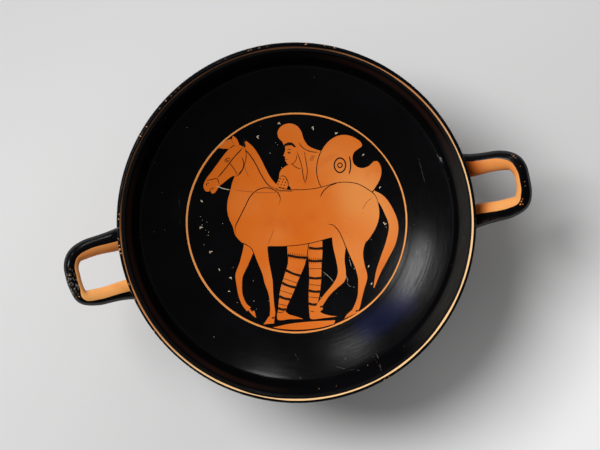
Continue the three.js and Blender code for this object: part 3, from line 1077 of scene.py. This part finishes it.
def horseShapes():
    shapes = Drawing()
    # far legs and the tail, behind
    farFore = [(-0.415, -0.16, 0.062), (-0.44, -0.25, 0.05), (-0.48, -0.37, 0.04), (-0.523, -0.48, 0.034),
               (-0.522, -0.55, 0.026), (-0.508, -0.66, 0.019), (-0.47, -0.745, 0.02),
               (-0.432, -0.785, 0.024)]
    farHind = [(0.395, -0.1, 0.075), (0.392, -0.22, 0.058), (0.4, -0.34, 0.038), (0.412, -0.44, 0.036),
               (0.405, -0.505, 0.04), (0.35, -0.575, 0.026), (0.285, -0.645, 0.021),
               (0.232, -0.715, 0.024), (0.205, -0.755, 0.025)]
    tail = [(0.69, 0.27, 0.03), (0.77, 0.215, 0.036), (0.835, 0.11, 0.042), (0.88, -0.02, 0.042),
            (0.858, -0.17, 0.044), (0.8, -0.31, 0.034), (0.745, -0.44, 0.022), (0.7, -0.59, 0.004)]
    for stroke in (farFore, farHind, tail):
        shapes.stroke(stroke)
    # near legs
    nearFore = [(-0.36, -0.08, 0.12), (-0.34, -0.2, 0.076), (-0.31, -0.33, 0.054), (-0.272, -0.46, 0.04),
                (-0.255, -0.54, 0.037), (-0.235, -0.64, 0.022), (-0.222, -0.75, 0.019),
                (-0.218, -0.825, 0.024), (-0.225, -0.865, 0.021)]
    nearHind = [(0.56, -0.02, 0.15), (0.535, -0.16, 0.1), (0.545, -0.28, 0.062), (0.575, -0.39, 0.045),
                (0.6, -0.49, 0.043), (0.59, -0.58, 0.03), (0.572, -0.68, 0.021), (0.545, -0.765, 0.026),
                (0.525, -0.8, 0.024)]
    for stroke in (nearFore, nearHind):
        shapes.stroke(stroke)
    hoofs = (
        [(-0.452, -0.772, 1), (-0.405, -0.792), (-0.382, -0.8, 1), (-0.366, -0.862, 1), (-0.405, -0.832)],
        [(-0.252, -0.848, 1), (-0.2, -0.862, 1), (-0.205, -0.912, 1), (-0.3, -0.918, 1), (-0.275, -0.885)],
        [(0.186, -0.738, 1), (0.228, -0.762), (0.24, -0.782, 1), (0.15, -0.87, 1), (0.158, -0.81)],
        [(0.502, -0.79, 1), (0.552, -0.79), (0.562, -0.806, 1), (0.43, -0.868, 1), (0.462, -0.825)],
    )
    for hoof in hoofs:
        shapes.area(hoof)
    # trunk
    trunk = [(-0.56, 0.44), (-0.585, 0.37), (-0.605, 0.29), (-0.628, 0.2), (-0.632, 0.11), (-0.612, 0.03),
             (-0.58, -0.04), (-0.56, -0.11), (-0.505, -0.175), (-0.44, -0.215), (-0.35, -0.23),
             (-0.255, -0.214), (-0.12, -0.212), (0.02, -0.2), (0.16, -0.175), (0.29, -0.14),
             (0.38, -0.12), (0.47, -0.15), (0.56, -0.2), (0.63, -0.175), (0.69, -0.1), (0.735, -0.01),
             (0.752, 0.08), (0.742, 0.17), (0.715, 0.245), (0.65, 0.3), (0.56, 0.35), (0.46, 0.368),
             (0.36, 0.362), (0.27, 0.335), (0.16, 0.31), (0.03, 0.3), (-0.08, 0.302), (-0.17, 0.325),
             (-0.235, 0.37), (-0.29, 0.47), (-0.35, 0.58), (-0.415, 0.665), (-0.48, 0.7), (-0.53, 0.6)]
    shapes.area([(x + 0.003, y + 0.007) for x, y in trunk], "line")
    shapes.area(trunk)
    # the mane: a clipped band down the crest
    mane = [(-0.47, 0.672, 1), (-0.478, 0.728), (-0.455, 0.742, 1), (-0.395, 0.69), (-0.335, 0.6),
            (-0.285, 0.5), (-0.235, 0.41), (-0.18, 0.345, 1), (-0.16, 0.318, 1), (-0.215, 0.322),
            (-0.262, 0.355), (-0.318, 0.44), (-0.372, 0.545), (-0.425, 0.625)]
    shapes.area([(x - 0.009, y - 0.003, *c) for x, y, *c in mane], "line")
    shapes.area(mane)
    # the head
    head = [(-0.845, 0.325), (-0.828, 0.385), (-0.77, 0.465), (-0.712, 0.545), (-0.655, 0.622),
            (-0.6, 0.68), (-0.545, 0.706), (-0.485, 0.695), (-0.462, 0.64), (-0.47, 0.56), (-0.498, 0.48),
            (-0.54, 0.432), (-0.585, 0.425), (-0.64, 0.385), (-0.7, 0.335), (-0.722, 0.305),
            (-0.745, 0.272), (-0.772, 0.268), (-0.782, 0.292), (-0.8, 0.284), (-0.825, 0.288)]
    shapes.area([(x + 0.006, y - 0.003) for x, y in head], "line")
    shapes.area(head)
    ear = [(-0.555, 0.69, 1), (-0.585, 0.745), (-0.578, 0.79, 1), (-0.545, 0.765), (-0.52, 0.71, 1)]
    forelock = [(-0.52, 0.718, 1), (-0.545, 0.752), (-0.6, 0.758), (-0.66, 0.728), (-0.708, 0.678, 1),
                (-0.655, 0.672), (-0.608, 0.672, 1)]
    shapes.area(forelock)
    shapes.line([(-0.612, 0.672), (-0.57, 0.7), (-0.52, 0.712), (-0.486, 0.69)])
    shapes.area([((x + 0.55) * 1.12 - 0.55, (y - 0.72) * 1.08 + 0.722, *c) for x, y, *c in ear], "line")
    shapes.area(ear)
    shapes.stroke([(-0.468, 0.69, 0.009), (-0.478, 0.735, 0.008), (-0.47, 0.765, 0.006)], "line")
    lines = [
        ("line", 1.1, [(-0.5, 0.6), (-0.482, 0.545), (-0.495, 0.485), (-0.535, 0.44)]),  # cheek
        ("line", 1.3, [(-0.48, 0.69), (-0.56, 0.605), (-0.65, 0.49), (-0.725, 0.4)]),  # bridle
        ("line", 1.0, [(-0.822, 0.385), (-0.775, 0.392), (-0.725, 0.402), (-0.7, 0.345)]),
        ("line", 1.0, [(-0.61, 0.545), (-0.575, 0.5), (-0.54, 0.44)]),
        ("line", 0.9, [(-0.792, 0.29), (-0.772, 0.312), (-0.748, 0.318)]),  # mouth
        ("line", 0.7, [(-0.822, 0.352), (-0.805, 0.362), (-0.792, 0.35)]),
        ("line", 0.9, [(-0.655, 0.56), (-0.64, 0.58), (-0.615, 0.588), (-0.6, 0.578)]),  # eye
        ("line", 0.8, [(-0.655, 0.558), (-0.632, 0.552), (-0.603, 0.575)]),
        ("line", 1.25, [(-0.552, -0.11), (-0.56, -0.04), (-0.52, 0.05), (-0.47, 0.15), (-0.42, 0.245),
                        (-0.35, 0.305), (-0.27, 0.32), (-0.19, 0.292), (-0.15, 0.23),
                        (-0.16, 0.165)]),  # shoulder
        ("line", 1.25, [(0.215, 0.235), (0.245, 0.29), (0.305, 0.34), (0.37, 0.363)]),  # haunch
        ("line", 1.1, [(0.28, -0.01), (0.335, -0.022), (0.385, -0.075), (0.42, -0.145), (0.45, -0.225),
                       (0.47, -0.29)]),
        ("line", 1.0, [(-0.505, -0.178), (-0.45, -0.205), (-0.412, -0.235), (-0.385, -0.29)]),
        ("line", 1.0, [(-0.12, -0.214), (0.02, -0.203), (0.16, -0.178), (0.285, -0.143)]),  # belly
        ("line", 1.6, [(0.452, -0.089), (0.463, -0.091)]),  # a pit
        ("wash", 1.0, [(-0.205, -0.06), (-0.235, -0.13), (-0.262, -0.205)]),
        ("wash", 1.0, [(-0.48, 0.52), (-0.455, 0.46), (-0.44, 0.42)]),
        ("wash", 0.8, [(0.69, 0.23), (0.64, 0.19), (0.6, 0.12)]),
        ("line", 1.1, [(-0.03, 0.29), (-0.17, 0.3), (-0.195, 0.318)]),
        ("wash", 1.1, [(-0.565, 0.3), (-0.43, 0.285), (-0.3, 0.275), (-0.12, 0.285)]),  # the rein
        ("pale", 1.0, [(-0.73, 0.335), (-0.665, 0.312), (-0.605, 0.3)]),
    ]
    for paint, width, points in lines:
        shapes.line(points, width, paint)
    shapes.dot((-0.632, 0.568), 0.0075, 8)
    shapes.dot((-0.816, 0.345), 0.006, 7, 1.3)
    for x, y, lean in ((-0.405, -0.795, 2.4), (-0.215, -0.862, 0.2), (0.222, -0.762, 0.6),
                       (0.545, -0.797, 0.5)):
        shapes.dot((x, y), 0.013, 9, 0.6, lean)
    return shapes


def fieldMarks():
    # Where letters once ran round the field, only short worn strokes of added colour, spelling nothing.
    rng = random.Random(5)
    spots = ((-0.16, 0.9), (-0.35, 0.78), (0.15, 0.86), (0.36, 0.82), (0.61, 0.61), (0.75, 0.32),
             (0.8, -0.01), (0.66, -0.39), (0.675, -0.555), (-0.86, 0.2), (-0.87, -0.04), (-0.78, -0.26),
             (-0.71, -0.42), (-0.62, -0.62), (-0.6, -0.5))
    shapes = Drawing()
    for x, y in spots:
        for _ in range(rng.choice((1, 2, 2))):
            a = rng.uniform(0, math.pi)
            dx, dy = 0.011 * math.cos(a), 0.011 * math.sin(a)
            cx, cy = x + rng.uniform(-0.008, 0.008), y + rng.uniform(-0.008, 0.008)
            dab = [(cx - dx, cy - dy, 0.0025), (cx, cy + 0.002, 0.0048), (cx + dx, cy + dy, 0.003)]
            shapes.stroke(dab, "pale")
    # tiny losses and a few scratches in the black
    fields = ((-0.88, -0.62, -0.35, 0.2, 9), (0.43, 0.53, -0.62, -0.3, 9), (-0.6, -0.2, -0.8, -0.3, 5),
              (0.6, 0.85, -0.3, 0.25, 6), (0.15, 0.4, -0.8, -0.45, 5), (-0.45, 0.05, 0.45, 0.75, 6))
    for left, right, low, high, count in fields:
        for _ in range(count):
            spot = (rng.uniform(left, right), rng.uniform(low, high))
            shapes.dot(spot, rng.uniform(0.002, 0.0036), 6, paint="pale")
    for stroke in (
        [(0.236, -0.44), (0.29, -0.486), (0.34, -0.54)],
        [(0.48, -0.33), (0.5, -0.4)],
        [(0.445, -0.47), (0.47, -0.53)],
    ):
        shapes.stroke([(x, y, 0.0013) for x, y in stroke], "pale", 0.2)
    return shapes


def insideMany(points, outline):
    # Which points lie inside a closed outline.
    low, high = outline.min(axis=0), outline.max(axis=0)
    near = np.nonzero(np.all((points >= low) & (points <= high), axis=1))[0]
    p, hits = points[near], np.zeros(len(near), int)
    for (ax, ay), (bx, by) in zip(outline, np.roll(outline, -1, axis=0)):
        crosses = (ay > p[:, 1]) != (by > p[:, 1])
        if crosses.any():
            hits += crosses & (p[:, 0] < ax + (p[:, 1] - ay) / ((by - ay) or 1e-12) * (bx - ax))
    return near[hits % 2 == 1]


def placed(outline):
    # From the picture's own units to millimetres on the cup, turned as the picture is.
    x, y = (np.asarray(outline, float) * picture["radius"] + picture["centre"]).T
    return np.column_stack(inView(x, y))


def paintedDisc():
    edge, around = cup["pictureEdge"], cup["around"]
    a = np.arange(around) * 2 * math.pi / around
    rim = np.column_stack([edge * np.cos(a), edge * np.sin(a)])
    drawn = ringShapes() + groundShapes() + fieldMarks() + groomShapes() + shieldShapes() + horseShapes()
    shapes = [(paint, placed(outline)) for paint, outline in drawn]
    points, edges = [rim], [(i, (i + 1) % around) for i in range(around)]
    total = around
    for _, outline in shapes:
        edges += [(total + i, total + (i + 1) % len(outline)) for i in range(len(outline))]
        points.append(outline)
        total += len(outline)
    drawnPoints = np.vstack(points)
    nearest = treeOf(drawnPoints)
    step, spare = picture["plainSpacing"], []
    rowStep = step * 0.866  # rows of even triangles
    reach = math.ceil(edge / rowStep)
    for j in range(-reach, reach + 1):
        for i in range(-reach, reach + 1):
            x, y = step * (i + 0.5 * (j % 2)), rowStep * j
            if math.hypot(x, y) < edge - step * 0.5 and nearest.find((x, y, 0))[2] > step * 0.4:
                spare.append((x, y))
    flat = [Vector(p) for p in np.vstack([drawnPoints, spare])]
    verts, _, faces, *_ = geometry.delaunay_2d_cdt(flat, edges, [], 0, 0.002, True)
    xy = np.array([tuple(v) for v in verts])
    middles = np.array([xy[list(f)].mean(axis=0) for f in faces])
    paint = np.zeros(len(faces), int)
    for colour, outline in shapes:
        paint[insideMany(middles, outline)] = paints[colour]
    start = int(np.argmax(fineProfile[:, 0] >= edge + 1))
    z = np.interp(np.hypot(xy[:, 0], xy[:, 1]), fineProfile[: start + 1, 0], fineProfile[: start + 1, 1])
    piece = newPiece("kylixPicture", np.column_stack([xy, z]), faces, paint)
    unrolled(piece.data)
    print("picture:", len(shapes), "shapes,", len(faces), "faces", flush=True)
    return piece


# The map for baking: the inside as one disc, the outside and the foot as strips, the handles beside them

baking = {
    "disc": (0.375, 0.37, 140.5),  # the disc's centre and radius on the map, and its radius on the cup
    "outside": (0.76, 0.115),  # lower edge and height of a strip
    "foot": (0.885, 0.105),
    "strip": (0.012, 0.976),  # left edge and width of both
    "handleRight": (0.765, 0.01, 0.1, 0.73),  # left, low, width and height
    "handleLeft": (0.885, 0.01, 0.1, 0.73),
}


def unrolled(mesh):
    # Seen from above inside, cut open at the back outside.
    layer = mesh.uv_layers.get("OFBake") or mesh.uv_layers.new(name="OFBake")
    along = running(fineProfile)
    top = int(np.argmax(fineProfile[:, 1]))
    outsideTree = treeOf(fineProfile[top:])
    split = int(np.argmin(np.linalg.norm(fineProfile - cup["collar"], axis=1)))
    uv = np.zeros((len(mesh.loops), 2))
    centre, across, outTo = baking["disc"]
    left, wide = baking["strip"]
    for face in mesh.polygons:
        middle = face.center / mm
        corners = [mesh.vertices[mesh.loops[i].vertex_index].co / mm for i in face.loop_indices]
        radius = math.hypot(middle.x, middle.y)
        if face.normal.z > 0 and middle.z > insideHeight(min(radius, cup["crease"][0])) - 1.5:
            for i, p in zip(face.loop_indices, corners):
                uv[i] = (centre + p.x / outTo * across, centre + p.y / outTo * across)
            continue
        onFoot = outsideTree.find((radius, middle.z, 0))[1] + top >= split
        low, tall = baking["foot" if onFoot else "outside"]
        first, last = (split, len(fineProfile) - 1) if onFoot else (top, split)
        angle = math.atan2(middle.y, middle.x)
        for i, p in zip(face.loop_indices, corners):
            own = math.atan2(p.y, p.x) if math.hypot(p.x, p.y) > 0.01 else angle
            own += 2 * math.pi * round((angle - own) / (2 * math.pi))
            index = outsideTree.find((math.hypot(p.x, p.y), p.z, 0))[1] + top
            share = (along[index] - along[first]) / (along[last] - along[first])
            uv[i] = (left + wide * (own + math.pi) / (2 * math.pi), low + tall * min(max(share, 0), 1))
    layer.data.foreach_set("uv", uv.ravel())


# Everything into one clay body


leftBare = {
    "panel": (74, 88),  # heights of the bare wall between each handle's ends
    "panelFrom": 118,  # radius
    "panelHalf": 6.5,  # degrees to each side of the handles' line
    "footEdge": (1.2, 7.4),  # heights
    "footEdgeDeep": 2.2,
    "under": (0.7, 44),  # height and radius where the foot rests
}


def bodyPaint(mesh):
    bare, black = finishes.index("reservedClay"), finishes.index("blackGloss")
    panelLow, panelHigh = leftBare["panel"]
    edgeLow, edgeHigh = leftBare["footEdge"]
    underHigh, underFrom = leftBare["under"]
    for face in mesh.polygons:
        x, y, z = face.center / mm
        radius, facing = math.hypot(x, y), abs(math.degrees(math.atan2(y, abs(x))))
        panel = panelLow < z < panelHigh and radius > leftBare["panelFrom"] and face.normal.z < 0
        panel = panel and facing < leftBare["panelHalf"]
        footEdge = radius > cup["foot"] - leftBare["footEdgeDeep"] and edgeLow < z < edgeHigh
        under = z < underHigh and radius > underFrom
        face.material_index = bare if panel or footEdge or under else black


def selectOnly(piece):
    bpy.ops.object.select_all(action="DESELECT")
    piece.select_set(True)
    bpy.context.view_layer.objects.active = piece


def joined():
    body = turnedBody()
    for finish in finishes:
        body.data.materials.append(bpy.data.materials[finish])
    bodyPaint(body.data)
    unrolled(body.data)
    lean = handle["lean"]
    right = sweptHandle("handleRight", -lean, handle["rightArms"], handle["rightBorder"])
    left = sweptHandle("handleLeft", math.pi + lean, handle["leftArms"], handle["leftBorder"])
    skins = []
    for loop in (right, left):
        skins += [(v.co.copy(), v.normal.copy()) for v in loop.data.vertices]
        join = body.modifiers.new("handleJoin", "BOOLEAN")
        join.operation = "UNION"
        join.solver = "EXACT"
        join.material_mode = "INDEX"
        join.object = loop
        selectOnly(body)
        bpy.ops.object.modifier_apply(modifier=join.name)
        bpy.data.objects.remove(loop)
    selectOnly(body)
    bm = bmesh.new()
    bm.from_mesh(body.data)
    lid = [f for f in bm.faces if len(f.verts) > 100]
    bmesh.ops.delete(bm, geom=lid, context="FACES_ONLY")
    bm.to_mesh(body.data)
    bm.free()
    paintedDisc().select_set(True)
    bpy.ops.object.join()
    bpy.ops.object.mode_set(mode="EDIT")
    bpy.ops.mesh.select_all(action="SELECT")
    bpy.ops.mesh.remove_doubles(threshold=0.004 * mm)
    bpy.ops.mesh.select_all(action="SELECT")
    bpy.ops.mesh.normals_make_consistent(inside=False)
    bpy.ops.object.mode_set(mode="OBJECT")
    bpy.ops.object.shade_smooth()
    smoothJoins(body.data, skins)
    return body


def smoothJoins(mesh, skins):
    # Shading normals: the profile's own on the body and the loop's own on the handles. Where the two
    # join, they meet in between.
    joinReach = 3.5  # how far from the seam the two meet
    steps = np.gradient(fineProfile, axis=0)
    steps /= np.linalg.norm(steps, axis=1)[:, None]
    wallTree = treeOf(fineProfile)
    skinTree = treeOf([co for co, _ in skins])

    def outside(co):
        return wallTree.find((math.hypot(co.x, co.y) / mm, co.z / mm, 0))[1] >= outerFrom

    def wallNormal(co):
        radius = math.hypot(co.x, co.y)
        dr, dz = steps[wallTree.find((radius / mm, co.z / mm, 0))[1]]
        if radius < 0.05 * mm:
            return Vector((0, 0, 1 if dr > 0 else -1))
        return Vector((-dz * co.x / radius, -dz * co.y / radius, dr)).normalized()

    def handleNormal(co):
        total = Vector((0, 0, 0))
        for _, i, away in skinTree.find_n(co, 4):
            total += skins[i][1] / (away + 0.02 * mm) ** 2
        return total.normalized()

    onHandle, onWall = set(), set()
    for face in mesh.polygons:
        (onHandle if finishes[face.material_index].startswith("handle") else onWall).update(face.vertices)
    seam = sorted(onHandle & onWall)
    seamPlaces = [mesh.vertices[i].co for i in seam]
    seamTree = treeOf(seamPlaces)
    seamNormals = [(wallNormal(co) + handleNormal(co)).normalized() for co in seamPlaces]
    normals = []
    for v in mesh.vertices:
        own = handleNormal(v.co) if v.index in onHandle else wallNormal(v.co)
        _, at, away = seamTree.find(v.co)
        share = float(ease(away, 0, joinReach * mm)) if v.index in onHandle or outside(v.co) else 1
        normals.append((own * share + seamNormals[at] * (1 - share)).normalized())
    mesh.normals_split_custom_set_from_vertices(normals)


kylix = joined()
kylix.name = "kylixCup"
kylix.data.name = "kylixCup"
bm = bmesh.new()
bm.from_mesh(kylix.data)
openEdges = sum(1 for e in bm.edges if len(e.link_faces) != 2)
volume = round(bm.calc_volume() * 1e6, 1)
print("kylix:", len(bm.faces), "faces,", openEdges, "open edges,", volume, "cm3", flush=True)
bm.free()
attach(kylix, "root")
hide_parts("kylix")


# Table, light and camera

studio = {
    # the table's painted light: its colours from the view's upper left, darker, to its lower right, brighter
    "table": ((0.560, 0.560, 0.562), (0.655, 0.655, 0.655), (0.955, 0.96, 0.955)),
    "above": 1410,  # camera's height
    "lens": 100.26,
    "aside": (2.55, -1.67),  # camera's place in the view's own directions
    "air": 0.225,  # light from all round
    "airInGloss": (0.015, 0.13, 0.42),  # what gloss sees of it overhead, at the horizon and to the left
    # azimuth in the view, elevation, distance, width and height, strength, seen in gloss
    "lamps": (
        (147, 52.5, 3.0, 1.65, 1.75, 85.0, False),
        (158.5, 43.5, 2.0, 0.72, 0.25, 4.6, True),
        (114, 39, 2.0, 0.42, 0.30, 1.0, True),
        (79, 25, 2.0, 0.24, 0.22, 1.9, True),
    ),
}


bpy.ops.mesh.primitive_plane_add(size=7, location=(0, 0, 0))
table = bpy.context.object
table.name = "studioTable"
tree, shader = newFinish("paleTable")
place = addNode(tree, "TexCoord")["Object"]
across = (*inView(0.7, -1), 0)
along = vectors(tree, "DOT_PRODUCT", place, across)
dark, middle, bright = studio["table"]
# painted light: the table darkens towards the view's upper left and brightens towards its lower right
tone = blended(tree, ramped(tree, along, -0.40, -0.16), dark, middle)
tone = blended(tree, ramped(tree, along, 0.13, 0.29), tone, bright)
for name, value in (("Base Color", tone), ("Roughness", 0.9), ("Specular IOR Level", 0.1)):
    feed(tree, shader.inputs[name], value)
table.data.materials.append(bpy.data.materials["paleTable"])

for azimuth, elevation, away, width, tall, strength, seen in studio["lamps"]:
    x, y = inView(math.cos(math.radians(azimuth)), math.sin(math.radians(azimuth)))
    e = math.radians(elevation)
    at = Vector((x * math.cos(e), y * math.cos(e), math.sin(e))) * away
    bpy.ops.object.light_add(type="AREA", location=at)
    lamp = bpy.context.object
    lamp.data.shape = "ELLIPSE"
    lamp.data.size = width
    lamp.data.size_y = tall
    lamp.data.energy = strength
    lamp.rotation_euler = at.to_track_quat("Z", "Y").to_euler()
    lamp.visible_glossy = seen

world = bpy.data.worlds.new("studioAir")
bpy.context.scene.world = world
world.use_nodes = True
tree = world.node_tree
way = addNode(tree, "TexCoord")["Generated"]
high = addNode(tree, "SeparateXYZ", {0: way})[2]
overhead, horizon, leftSide = studio["airInGloss"]
left = (*inView(math.cos(math.radians(178)), math.sin(math.radians(178))), 0)
low = ramped(tree, vectors(tree, "DOT_PRODUCT", way, left), 0.70, 0.95, horizon, leftSide)
mirrored = ramped(tree, high, 0.02, 0.42, low, overhead)
glossy = addNode(tree, "LightPath")["Is Glossy Ray"]
strength = times(tree, glossy, sums(tree, "SUBTRACT", mirrored, studio["air"]))
air = tree.nodes["Background"].inputs
feed(tree, air["Strength"], sums(tree, "ADD", strength, studio["air"]))
feed(tree, air["Color"], (1, 1, 1))

bpy.ops.object.camera_add(location=(*[c * mm for c in inView(*studio["aside"])], studio["above"] * mm))
camera = bpy.context.object
camera.rotation_euler = (0, 0, -turn)
camera.data.lens = studio["lens"]
camera.data.clip_start = 0.05
bpy.context.scene.camera = camera
bpy.context.scene.view_settings.view_transform = "Standard"
bpy.context.scene.view_settings.look = "None"
